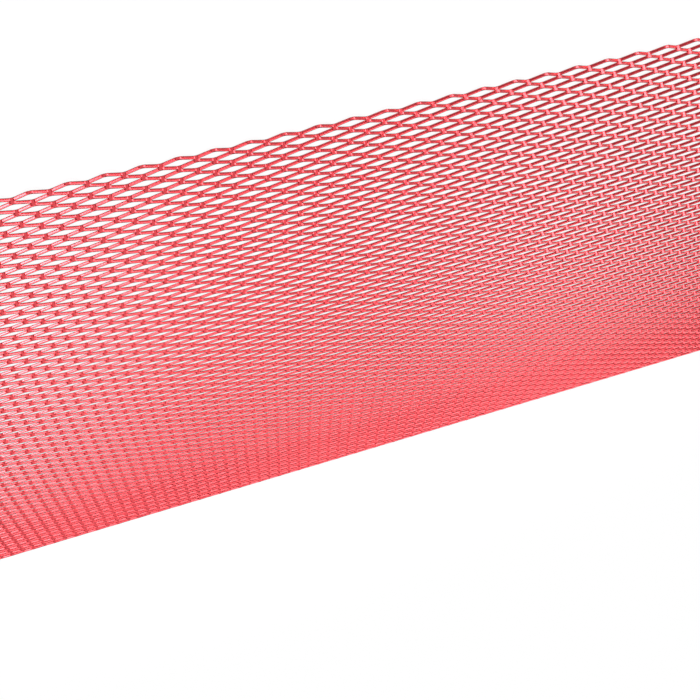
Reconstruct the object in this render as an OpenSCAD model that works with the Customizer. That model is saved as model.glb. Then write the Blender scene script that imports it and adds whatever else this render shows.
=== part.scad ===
// Car grille mesh: one sheet of raised expanded aluminium, lying flat.
// X runs along the sheet and the long way of the diamonds, Y across it, Z up.
// The origin is the middle of the sheet, on the surface that it lies on.

/* [Sheet] */
// Length of the sheet, between its two sheared ends
sheet_l = 500; // [100:1:600]
// Width of the sheet, over the crests of its two wavy edges
sheet_w = 300; // [60:1:360]
// Height of the raised mesh, from its lowest to its highest edge
sheet_h = 2.5; // [1:0.1:4]

/* [Diamonds] */
// Long way of a diamond, from the middle of one knot to the next
long_way = 12; // [10:0.1:30]
// Short way of a diamond, from the middle of one knot to the next
short_way = 6.25; // [5:0.05:15]
// Width of a strand, measured across the sheet
strand_w = 1; // [0.6:0.05:2]

/* [Hidden] */
// Whole strands share out the width, so that both long edges end on a wavy strand.
strands = round(2 * sheet_w / short_way);
row_pitch = sheet_w / strands;
col_pitch = long_way / 2;
// First column of knots or openings at or past a sheared end, counted from the middle
end_col = ceil(sheet_l / long_way);

// Half diagonals of an opening
open_y = row_pitch - strand_w / 2;
open_x = open_y * col_pitch / row_pitch;

// The one sheet is told in panels of up to about 400 knots, which meet at their knots.
panel_knots = 400;
panel_side = 100;
panels_y = max(1, round(sheet_w / panel_side));
panels_x = ceil(end_col * strands / panel_knots / panels_y);
PANELS = [for (j = [0:panels_y - 1], i = [0:panels_x - 1]) [i, j]];

function first_col(i) = round(2 * end_col * i / panels_x) - end_col;
function first_row(j) = round(strands * j / panels_y);
function col_x(col) = max(-sheet_l / 2, min(sheet_l / 2, col * col_pitch));
function row_y(row) = row * row_pitch - sheet_w / 2;

// Knots and openings take turns, like the squares of a chessboard.
function is_opening(col, row) = (col + row + strands) % 2 != 0;

module opening() {
    polygon([[-open_x, 0], [0, -open_y], [open_x, 0], [0, open_y]]);
}

module panel_blank(i, j) {
    size_x = col_x(first_col(i + 1)) - col_x(first_col(i));
    size_y = row_y(first_row(j + 1)) - row_y(first_row(j));
    translate([col_x(first_col(i)), row_y(first_row(j))])
        square([size_x, size_y]);
}

module mesh_panel(i, j) {
    cols = [first_col(i):first_col(i + 1)];
    rows = [first_row(j):first_row(j + 1)];
    color("crimson")
        linear_extrude(sheet_h)
            difference() {
                panel_blank(i, j);
                for (col = cols, row = rows)
                    if (is_opening(col, row))
                        translate([col * col_pitch, row_y(row)])
                            opening();
            }
}

for (n = [0:len(PANELS) - 1])
    mesh_panel(PANELS[n][0], PANELS[n][1]);
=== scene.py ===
import math

import bpy
import numpy as np
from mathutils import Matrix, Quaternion, Vector


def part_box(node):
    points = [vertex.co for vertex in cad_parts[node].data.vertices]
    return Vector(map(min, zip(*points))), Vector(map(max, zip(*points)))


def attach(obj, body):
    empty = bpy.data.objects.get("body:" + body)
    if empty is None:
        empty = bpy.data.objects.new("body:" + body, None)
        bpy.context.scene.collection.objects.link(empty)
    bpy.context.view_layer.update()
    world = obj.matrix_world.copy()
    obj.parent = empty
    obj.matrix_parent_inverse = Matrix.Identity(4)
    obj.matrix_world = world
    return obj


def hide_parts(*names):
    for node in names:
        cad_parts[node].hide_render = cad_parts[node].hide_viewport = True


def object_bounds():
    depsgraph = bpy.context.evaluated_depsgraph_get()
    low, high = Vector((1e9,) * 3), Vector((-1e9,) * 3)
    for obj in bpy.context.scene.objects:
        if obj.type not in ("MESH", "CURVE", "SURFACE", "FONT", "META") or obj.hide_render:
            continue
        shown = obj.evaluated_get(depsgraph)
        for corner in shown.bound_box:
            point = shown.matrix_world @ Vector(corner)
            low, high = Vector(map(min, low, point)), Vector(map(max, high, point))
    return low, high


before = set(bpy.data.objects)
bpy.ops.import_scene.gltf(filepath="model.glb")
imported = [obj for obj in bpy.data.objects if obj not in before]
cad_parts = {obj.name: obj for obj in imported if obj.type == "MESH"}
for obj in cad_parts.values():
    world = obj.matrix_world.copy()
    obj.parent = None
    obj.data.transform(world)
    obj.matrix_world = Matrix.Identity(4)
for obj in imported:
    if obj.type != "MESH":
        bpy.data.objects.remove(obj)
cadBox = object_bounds()
mm = 0.001
print("frame: loaded", len(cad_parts), "panels of one mesh sheet")


# Camera at the photo's angle: it looks down on the lying sheet, turned so that the near edge is on top
cameraView = {
    "place": (-0.1355, 0.4067, 0.2169),  # m, as the aim is
    "aim": (-0.0398, -0.0184, 0.0),
    "roll": 158.8,  # degrees, round the line of sight
    "lens": 51.5,  # mm
    "sensor": 36.0,  # mm wide
    "clip": (0.01, 50.0),  # m
}


def addCamera(view):
    # it looks from its place to its aim, and rolls round that line
    look = Vector(view["aim"]) - Vector(view["place"])
    data = bpy.data.cameras.new("photoCamera")
    data.sensor_width = view["sensor"]
    data.lens = view["lens"]
    data.clip_start, data.clip_end = view["clip"]
    camera = bpy.data.objects.new("photoCamera", data)
    camera.location = view["place"]
    camera.rotation_mode = "QUATERNION"
    roll = Quaternion((0, 0, 1), math.radians(view["roll"]))
    camera.rotation_quaternion = look.to_track_quat("-Z", "Y") @ roll
    bpy.context.collection.objects.link(camera)
    bpy.context.scene.camera = camera


addCamera(cameraView)
print("camera: placed")


# Colours and nodes
def linearColour(hexText):
    # sRGB hex to linear, by the standard curve
    parts = [int(hexText[i:i + 2], 16) / 255 for i in (1, 3, 5)]
    return tuple(c / 12.92 if c <= 0.04045 else ((c + 0.055) / 1.055) ** 2.4 for c in parts) + (1.0,)


def addNode(tree, kind, settings=None, inputs=None, links=None):
    # one node with its settings, its socket values and the sockets that feed it
    node = tree.nodes.new(kind)
    for name, value in (settings or {}).items():
        setattr(node, name, value)
    for name, value in (inputs or {}).items():
        node.inputs[name].default_value = value
    for name, source in (links or {}).items():
        tree.links.new(source, node.inputs[name])
    return node


def newMaterial(name):
    # a material with an empty node tree
    material = bpy.data.materials.new(name)
    material.use_nodes = True
    material.node_tree.nodes.clear()
    return material, material.node_tree


# Red lacquer over bright aluminium: the metal mirrors in deep red under a clear, glossy skin,
# so a slat turned to a lamp goes pale pink and one turned to the dark goes crimson
redLacquer = {
    "colour": "#E03641",
    "thinColour": "#E8424B",  # where the coat is thinner
    "patchSize": 9.0,  # mm, drift of the colour
    "peelSize": 0.9,  # mm, drawn three times as coarse as real orange peel so that it shows
    "peelDepth": 0.001,  # mm
    "metal": 0.95,
    "roughness": 0.3,
    "coat": 1.0,
    "coatRoughness": 0.2,
}


def lacquerOnAluminium(lacquer):
    material, tree = newMaterial("redLacquerOnAluminium")
    place = addNode(tree, "ShaderNodeTexCoord")
    patch = addNode(tree, "ShaderNodeTexNoise",
                    inputs={"Scale": 1 / (lacquer["patchSize"] * mm), "Detail": 2.0, "Roughness": 0.5},
                    links={"Vector": place.outputs["Object"]})
    # a mix of colours has its share at socket 0 and the colours at 6 and 7
    tint = addNode(tree, "ShaderNodeMix", {"data_type": "RGBA"},
                   inputs={6: linearColour(lacquer["colour"]), 7: linearColour(lacquer["thinColour"])},
                   links={0: patch.outputs["Fac"]})
    peel = addNode(tree, "ShaderNodeTexNoise",
                   inputs={"Scale": 1 / (lacquer["peelSize"] * mm), "Detail": 1.0, "Roughness": 0.5},
                   links={"Vector": place.outputs["Object"]})
    bump = addNode(tree, "ShaderNodeBump",
                   inputs={"Strength": 1.0, "Distance": lacquer["peelDepth"] * mm},
                   links={"Height": peel.outputs["Fac"]})
    shader = addNode(tree, "ShaderNodeBsdfPrincipled",
                     inputs={"Metallic": lacquer["metal"], "Roughness": lacquer["roughness"],
                             "Coat Weight": lacquer["coat"], "Coat Roughness": lacquer["coatRoughness"]},
                     links={"Base Color": tint.outputs[2], "Normal": bump.outputs["Normal"]})
    addNode(tree, "ShaderNodeOutputMaterial", links={"Surface": shader.outputs["BSDF"]})
    return material


# Expanded mesh, in mm. Each strand is a slat that zigzags between two lines of knots.
strandShape = {
    "longWay": 12.0,
    "shortWay": 6.25,
    "slatWidth": 1.2,  # of one strand, half of a knot's height
    "slatThickness": 0.75,
    "knotFlat": 1.4,  # length of a knot before its strands bend away
    "bendRadius": 1.4,
    "edgeRound": 0.32,
    "twist": 16.0,  # degrees that a leg turns its near face up
    "crownHigh": 9.0,  # degrees that a leg's face turns outwards at its upper edge, as shears leave it
    "crownLow": 4.0,  # and at its lower edge
    "knotTurn": 10.0,  # degrees that the shading of a knot's face turns up
    "closedRound": 0.005,  # what is left of an edge where two slats are one knot
    "endClear": 0.01,  # a bend's point nearer than this to a panel's end is left out
}


def slatDirections(shape):
    # A slat leans so that its travel from knot line to knot line is square to its width:
    # the cosine of its slope is its width over the pitch of the lines.
    pitch = shape["shortWay"] / 2
    lean = math.acos(shape["slatWidth"] / pitch)
    upSlat = np.array([0.0, -math.cos(lean), math.sin(lean)])
    travel = np.array([0.0, -math.sin(lean), -math.cos(lean)])
    return upSlat, travel, pitch * math.sin(lean), lean


def slatPath(shape, stroke, firstCol, lastCol, oddity):
    # Zigzag with round bends, for the half diamonds from firstCol to lastCol:
    # along X it runs knot, bend, straight leg, bend, knot, and across it swings from 0 to the stroke.
    # A bend is an arc: the radius times the sine of its turn, and times one minus the cosine.
    half = shape["longWay"] / 2
    corner = shape["knotFlat"] / 2
    slope = math.atan2(stroke, half - 2 * corner)
    radius = shape["bendRadius"]
    start = corner - radius * math.tan(slope / 2)
    turn = np.array([0, slope / 2, slope])
    bendX = start + radius * np.sin(turn)
    bendN = radius * (1 - np.cos(turn))
    stepX = np.concatenate([bendX, half - bendX[::-1]])
    stepN = np.concatenate([bendN, stroke - bendN[::-1]])
    stepTilt = np.concatenate([turn, turn[::-1]])
    cols = np.arange(firstCol, lastCol)[:, None]
    rising = (cols + oddity) % 2 == 0
    x = cols * half + stepX
    n = np.where(rising, stepN, stroke - stepN)
    tilt = np.where(rising, stepTilt, -stepTilt)
    return x.ravel(), n.ravel(), tilt.ravel()


def slatRows(shape, rows, span, sheetWidth):
    # All slats of one panel, as points[row, station, 8 corners, 3] with their normals.
    # A corner is the path's point plus u along the slat's width and v along its thickness.
    upSlat, travel, stroke, lean = slatDirections(shape)
    half = shape["longWay"] / 2
    pitch = shape["shortWay"] / 2
    width, thick = shape["slatWidth"], shape["slatThickness"]
    # half the height of the mesh, from its lowest rounded edge, which rests on the floor
    middle = width * math.sin(lean) + (thick / 2 - shape["edgeRound"]) * math.cos(lean)
    lastLine = round(sheetWidth / pitch)
    # one half diamond to spare past each end, which is cut off below
    firstCol = math.floor(span[0] / half) - 1
    lastCol = math.ceil(span[1] / half) + 1
    points, normals = [], []
    for row in rows:
        x, n, tilt = slatPath(shape, stroke, firstCol, lastCol, row)
        inside = (x > span[0] + shape["endClear"]) & (x < span[1] - shape["endClear"])
        ends = np.array(span)
        endN = np.interp(ends, x, n)
        endTilt = np.interp(ends, x, tilt)
        x = np.concatenate([ends[:1], x[inside], ends[1:]])
        n = np.concatenate([endN[:1], n[inside], endN[1:]])
        tilt = np.concatenate([endTilt[:1], tilt[inside], endTilt[1:]])
        sideX = -np.sin(tilt)
        sideN = np.cos(tilt)
        sideX[[0, -1]] = 0.0  # the ends are sheared square to X
        sideN[[0, -1]] = 1 / np.cos(tilt[[0, -1]])
        # A slat is the upper half of the knots on its first line and the lower half of those on the next.
        base = np.array([0.0, sheetWidth / 2 - pitch * row, middle]) + width / 2 * upSlat
        path = base + x[:, None] * np.array([1.0, 0, 0]) + n[:, None] * travel
        side = sideX[:, None] * np.array([1.0, 0, 0]) + sideN[:, None] * travel
        full, shut = shape["edgeRound"], shape["closedRound"]
        opened = np.abs(tilt) / np.abs(tilt).max()  # 0 on a knot, 1 on a leg
        roundTo = shut + (full - shut) * opened
        low = np.where((n < stroke / 2) & (row > 0), roundTo, full)
        high = np.where((n > stroke / 2) & (row < lastLine - 1), roundTo, full)
        a = np.full(len(x), width / 2)
        b = np.full(len(x), thick / 2)
        u = np.stack([a, a, a - high, low - a, -a, -a, low - a, a - high], 1)
        v = np.stack([high - b, b - high, b, b, b - low, low - b, -b, -b], 1)
        # Between knots the slat twists: width and thickness turn together round the path.
        length = np.linalg.norm(side, axis=1)[:, None]
        twist = np.radians(shape["twist"]) * opened[:, None]
        up = np.cos(twist) * upSlat + np.sin(twist) * side / length
        flat = np.cos(twist) * side / length - np.sin(twist) * upSlat
        across = flat * length
        points.append(path[:, None] + u[..., None] * up[:, None] + v[..., None] * across[:, None])
        # The shading of a long face turns out towards its edges, and on a knot all of it turns up.
        knotTurn = shape["knotTurn"]
        crownHigh = np.radians(knotTurn + (shape["crownHigh"] - knotTurn) * opened[:, None])
        crownLow = np.radians((shape["crownLow"] + knotTurn) * opened[:, None] - knotTurn)
        flatHigh = np.cos(crownHigh) * flat
        upHigh = np.sin(crownHigh) * up
        flatLow = np.cos(crownLow) * flat
        upLow = np.sin(crownLow) * up
        normals.append(np.stack([up, up, flatHigh + upHigh, flatLow - upLow, -up, -up,
                                 -flatLow - upLow, upHigh - flatHigh], 1))
    return np.array(points), np.array(normals)


def buildPanel(name, shape, rows, span, sheetWidth, material):
    # The corners of each two stations next to each other join as quads, and a slat's ends are closed.
    points, normals = slatRows(shape, rows, span, sheetWidth)
    rowCount, stations, corners, _ = points.shape
    index = np.arange(rowCount * stations * corners).reshape(rowCount, stations, corners)
    here, after = index[:, :-1], index[:, 1:]
    quads = np.stack([here, np.roll(here, -1, 2), np.roll(after, -1, 2), after], -1).reshape(-1, 4)
    caps = np.concatenate([index[:, 0, ::-1], index[:, -1]])
    loops = np.concatenate([quads.ravel(), caps.ravel()]).astype(np.int32)
    sizes = np.concatenate([np.full(len(quads), 4), np.full(len(caps), corners)])
    starts = (np.cumsum(sizes) - sizes).astype(np.int32)
    mesh = bpy.data.meshes.new(name)
    mesh.vertices.add(index.size)
    mesh.vertices.foreach_set("co", (points.ravel() * mm).astype(np.float32))
    mesh.loops.add(len(loops))
    mesh.loops.foreach_set("vertex_index", loops)
    mesh.polygons.add(len(sizes))
    mesh.polygons.foreach_set("loop_start", starts)
    mesh.update(calc_edges=True)
    mesh.validate()
    endNormals = np.repeat([[-1.0, 0, 0], [1.0, 0, 0]], rowCount * corners, axis=0)
    loopNormals = np.concatenate([normals.reshape(-1, 3)[quads.ravel()], endNormals])
    mesh.normals_split_custom_set(loopNormals.tolist())
    mesh.materials.append(material)
    panel = bpy.data.objects.new(name, mesh)
    bpy.context.collection.objects.link(panel)
    return panel


def buildSheet(shape, material):
    # One piece of strands for each CAD panel, over that panel's own length and rows.
    sheetWidth = (cadBox[1].y - cadBox[0].y) / mm
    pitch = shape["shortWay"] / 2
    for node in sorted(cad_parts):
        low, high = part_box(node)
        firstRow = round((sheetWidth / 2 - high.y / mm) / pitch)
        lastRow = round((sheetWidth / 2 - low.y / mm) / pitch)
        span = (round(low.x / mm, 3), round(high.x / mm, 3))  # to a thousandth of a mm
        panel = buildPanel(node.replace("mesh_panel", "strands"), shape, range(firstRow, lastRow),
                           span, sheetWidth, material)
        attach(panel, "root")
        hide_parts(node)
        print("sheet:", panel.name, "has", len(panel.data.polygons), "faces")


buildSheet(strandShape, lacquerOnAluminium(redLacquer))


# Studio: a white floor, soft lamps all round the sheet and a white room for shiny faces to mirror
studio = {
    "floorHalf": 6.0,  # m
    "floorColour": "#D8D8D8",
    "floorLight": 0.6,  # how bright the lamps make the bare floor, out of 1
    "glossyShare": 0.05,  # how much of the white glow the metal mirrors
    "shadowShare": 0.15,  # how much of the floor's own shading the camera sees beside the sheet
    "shadowReach": (0.32, 0.60),  # m from the middle of the sheet, where that share fades out
    "ambient": 0.2,  # light from all round
    # the room that shiny faces mirror, with angles in degrees
    "walls": {"low": 0.5, "high": 1.0, "reach": (26, 44)},  # how bright, rising with the elevation
    "spots": [
        {"azimuth": 0, "up": 90, "reach": (12, 32), "strength": 0.2},  # dark ceiling
        {"azimuth": -12, "up": 32, "reach": (10, 22), "strength": 1.0},  # white wall beside the camera
        {"azimuth": -42, "up": 44, "reach": (16, 26), "strength": 0.12},  # the camera's dark corner
        {"azimuth": 180, "up": 62, "reach": (24, 42), "strength": 0.08},  # dark behind and overhead
    ],
}
# Softboxes, in m and W, with azimuth in degrees from the near side, +Y, towards the right, +X.
# A slat mirrors each lamp from one part of the sheet only, and the notes say which slats it brightens.
lamps = {
    # legs that face right, at the left end
    "softboxRight": {"azimuth": 66, "height": 1.25, "away": 1.6, "wide": 0.6, "tall": 0.4, "power": 6.5},
    # knots of the near rows
    "softboxFront": {"azimuth": 35, "height": 0.78, "away": 1.6, "wide": 0.7, "tall": 0.5, "power": 8},
    # knots of the far rows
    "softboxHigh": {"azimuth": 8, "height": 1.45, "away": 1.6, "wide": 1.5, "tall": 0.4, "power": 1.5},
    # legs that face left, at the left end
    "softboxLeft": {"azimuth": -82, "height": 0.44, "away": 1.6, "wide": 0.8, "tall": 0.42, "power": 14},
    # legs that face right, in the far right corner
    "softboxSide": {"azimuth": 103, "height": 0.45, "away": 1.6, "wide": 0.45, "tall": 0.3, "power": 1.2},
    # legs that face right, halfway along the far rows
    "softboxSideHigh": {"azimuth": 100, "height": 1.04, "away": 1.6, "wide": 0.4, "tall": 0.3,
                        "power": 1.3},
    # soft light from above on all the sheet
    "softboxTop": {"azimuth": -108, "height": 2.4, "away": 1.4, "wide": 2.3, "tall": 2.3, "power": 40},
    # legs that face left, in the far rows
    "softboxOverhead": {"azimuth": -78, "height": 2.2, "away": 1.6, "wide": 0.9, "tall": 0.9, "power": 8},
}


def whiteFloor(settings):
    # matt white paper: it catches the shadow, and is bright for what looks at it or mirrors it
    material, tree = newMaterial("mattWhitePaper")
    rays = addNode(tree, "ShaderNodeLightPath")
    glossy = addNode(tree, "ShaderNodeMath", {"operation": "MULTIPLY"},
                     inputs={1: settings["glossyShare"]}, links={0: rays.outputs["Is Glossy Ray"]})
    seen = addNode(tree, "ShaderNodeMath", {"operation": "MAXIMUM"},
                   links={0: rays.outputs["Is Camera Ray"], 1: glossy.outputs[0]})
    place = addNode(tree, "ShaderNodeTexCoord")
    far = addNode(tree, "ShaderNodeVectorMath", {"operation": "LENGTH"},
                  links={"Vector": place.outputs["Object"]})
    near, gone = settings["shadowReach"]
    clear = addNode(tree, "ShaderNodeMapRange", {"interpolation_type": "SMOOTHSTEP"},
                    inputs={"From Min": near, "From Max": gone,
                            "To Min": 1 - settings["shadowShare"], "To Max": 1.0},
                    links={"Value": far.outputs["Value"]})
    share = addNode(tree, "ShaderNodeMath", {"operation": "MULTIPLY"},
                    links={0: seen.outputs[0], 1: clear.outputs["Result"]})
    # the glow fills the bare floor up to white: share x glow + (1 - share) x floor light = 1
    missing = addNode(tree, "ShaderNodeMath", {"operation": "DIVIDE"},
                      inputs={0: 1 - settings["floorLight"]}, links={1: clear.outputs["Result"]})
    glowing = addNode(tree, "ShaderNodeMath", {"operation": "ADD"},
                      inputs={1: settings["floorLight"]}, links={0: missing.outputs[0]})
    paper = addNode(tree, "ShaderNodeBsdfDiffuse", inputs={"Color": linearColour(settings["floorColour"])})
    glow = addNode(tree, "ShaderNodeEmission", links={"Strength": glowing.outputs[0]})
    both = addNode(tree, "ShaderNodeMixShader",
                   links={"Fac": share.outputs[0], 1: paper.outputs[0], 2: glow.outputs[0]})
    addNode(tree, "ShaderNodeOutputMaterial", links={"Surface": both.outputs[0]})
    half = settings["floorHalf"]
    mesh = bpy.data.meshes.new("floor")
    corners = [(-half, -half, 0), (half, -half, 0), (half, half, 0), (-half, half, 0)]
    mesh.from_pydata(corners, [], [(0, 1, 2, 3)])
    mesh.materials.append(material)
    floor = bpy.data.objects.new("floor", mesh)
    bpy.context.collection.objects.link(floor)


def addSoftbox(name, lamp):
    # a rectangular lamp on a circle round the middle of the sheet, turned to face it
    angle = math.radians(lamp["azimuth"])
    away = lamp["away"]
    place = Vector((math.sin(angle) * away, math.cos(angle) * away, lamp["height"]))
    data = bpy.data.lights.new(name, "AREA")
    data.shape = "RECTANGLE"
    data.size = lamp["wide"]
    data.size_y = lamp["tall"]
    data.energy = lamp["power"]
    light = bpy.data.objects.new(name, data)
    light.location = place
    light.rotation_mode = "QUATERNION"
    light.rotation_quaternion = (-place).to_track_quat("-Z", "Y")
    bpy.context.collection.objects.link(light)


def lightWorld(settings):
    # White to look at, and plain grey light on all else. What shiny faces mirror is a white room with
    # brighter and dimmer parts: each part's strength blends in with the angle from its middle.
    world = bpy.data.worlds.new("studio")
    bpy.context.scene.world = world
    world.use_nodes = True
    tree = world.node_tree
    tree.nodes.clear()
    rays = addNode(tree, "ShaderNodeLightPath")
    place = addNode(tree, "ShaderNodeTexCoord")
    parts = addNode(tree, "ShaderNodeSeparateXYZ", links={0: place.outputs["Generated"]})
    walls = settings["walls"]
    low, high = (math.sin(math.radians(angle)) for angle in walls["reach"])
    rising = addNode(tree, "ShaderNodeMapRange", {"interpolation_type": "SMOOTHSTEP"},
                     inputs={"From Min": low, "From Max": high,
                             "To Min": walls["low"], "To Max": walls["high"]},
                     links={"Value": parts.outputs["Z"]})
    mirrored = rising.outputs["Result"]
    # a mix of plain values has its share at socket 0 and the values at 2 and 3
    for spot in settings["spots"]:
        azimuth = math.radians(spot["azimuth"])
        up = math.radians(spot["up"])
        middle = (math.sin(azimuth) * math.cos(up), math.cos(azimuth) * math.cos(up), math.sin(up))
        facing = addNode(tree, "ShaderNodeVectorMath", {"operation": "DOT_PRODUCT"},
                         inputs={1: middle}, links={0: place.outputs["Generated"]})
        inner, outer = (math.cos(math.radians(angle)) for angle in spot["reach"])
        near = addNode(tree, "ShaderNodeMapRange", {"interpolation_type": "SMOOTHSTEP"},
                       inputs={"From Min": outer, "From Max": inner},
                       links={"Value": facing.outputs["Value"]})
        blend = addNode(tree, "ShaderNodeMix", {"data_type": "FLOAT"},
                        inputs={3: spot["strength"]}, links={0: near.outputs["Result"], 2: mirrored})
        mirrored = blend.outputs[0]
    unseen = addNode(tree, "ShaderNodeMix", {"data_type": "FLOAT"}, inputs={2: settings["ambient"]},
                     links={0: rays.outputs["Is Glossy Ray"], 3: mirrored})
    strength = addNode(tree, "ShaderNodeMix", {"data_type": "FLOAT"}, inputs={3: 1.0},
                       links={0: rays.outputs["Is Camera Ray"], 2: unseen.outputs[0]})
    sky = addNode(tree, "ShaderNodeBackground", inputs={"Color": (1, 1, 1, 1)},
                  links={"Strength": strength.outputs[0]})
    addNode(tree, "ShaderNodeOutputWorld", links={"Surface": sky.outputs[0]})


whiteFloor(studio)
for lampName, lampSettings in lamps.items():
    addSoftbox(lampName, lampSettings)
lightWorld(studio)
bpy.context.scene.view_settings.view_transform = "Standard"
print("studio: floor, lamps and world are set")
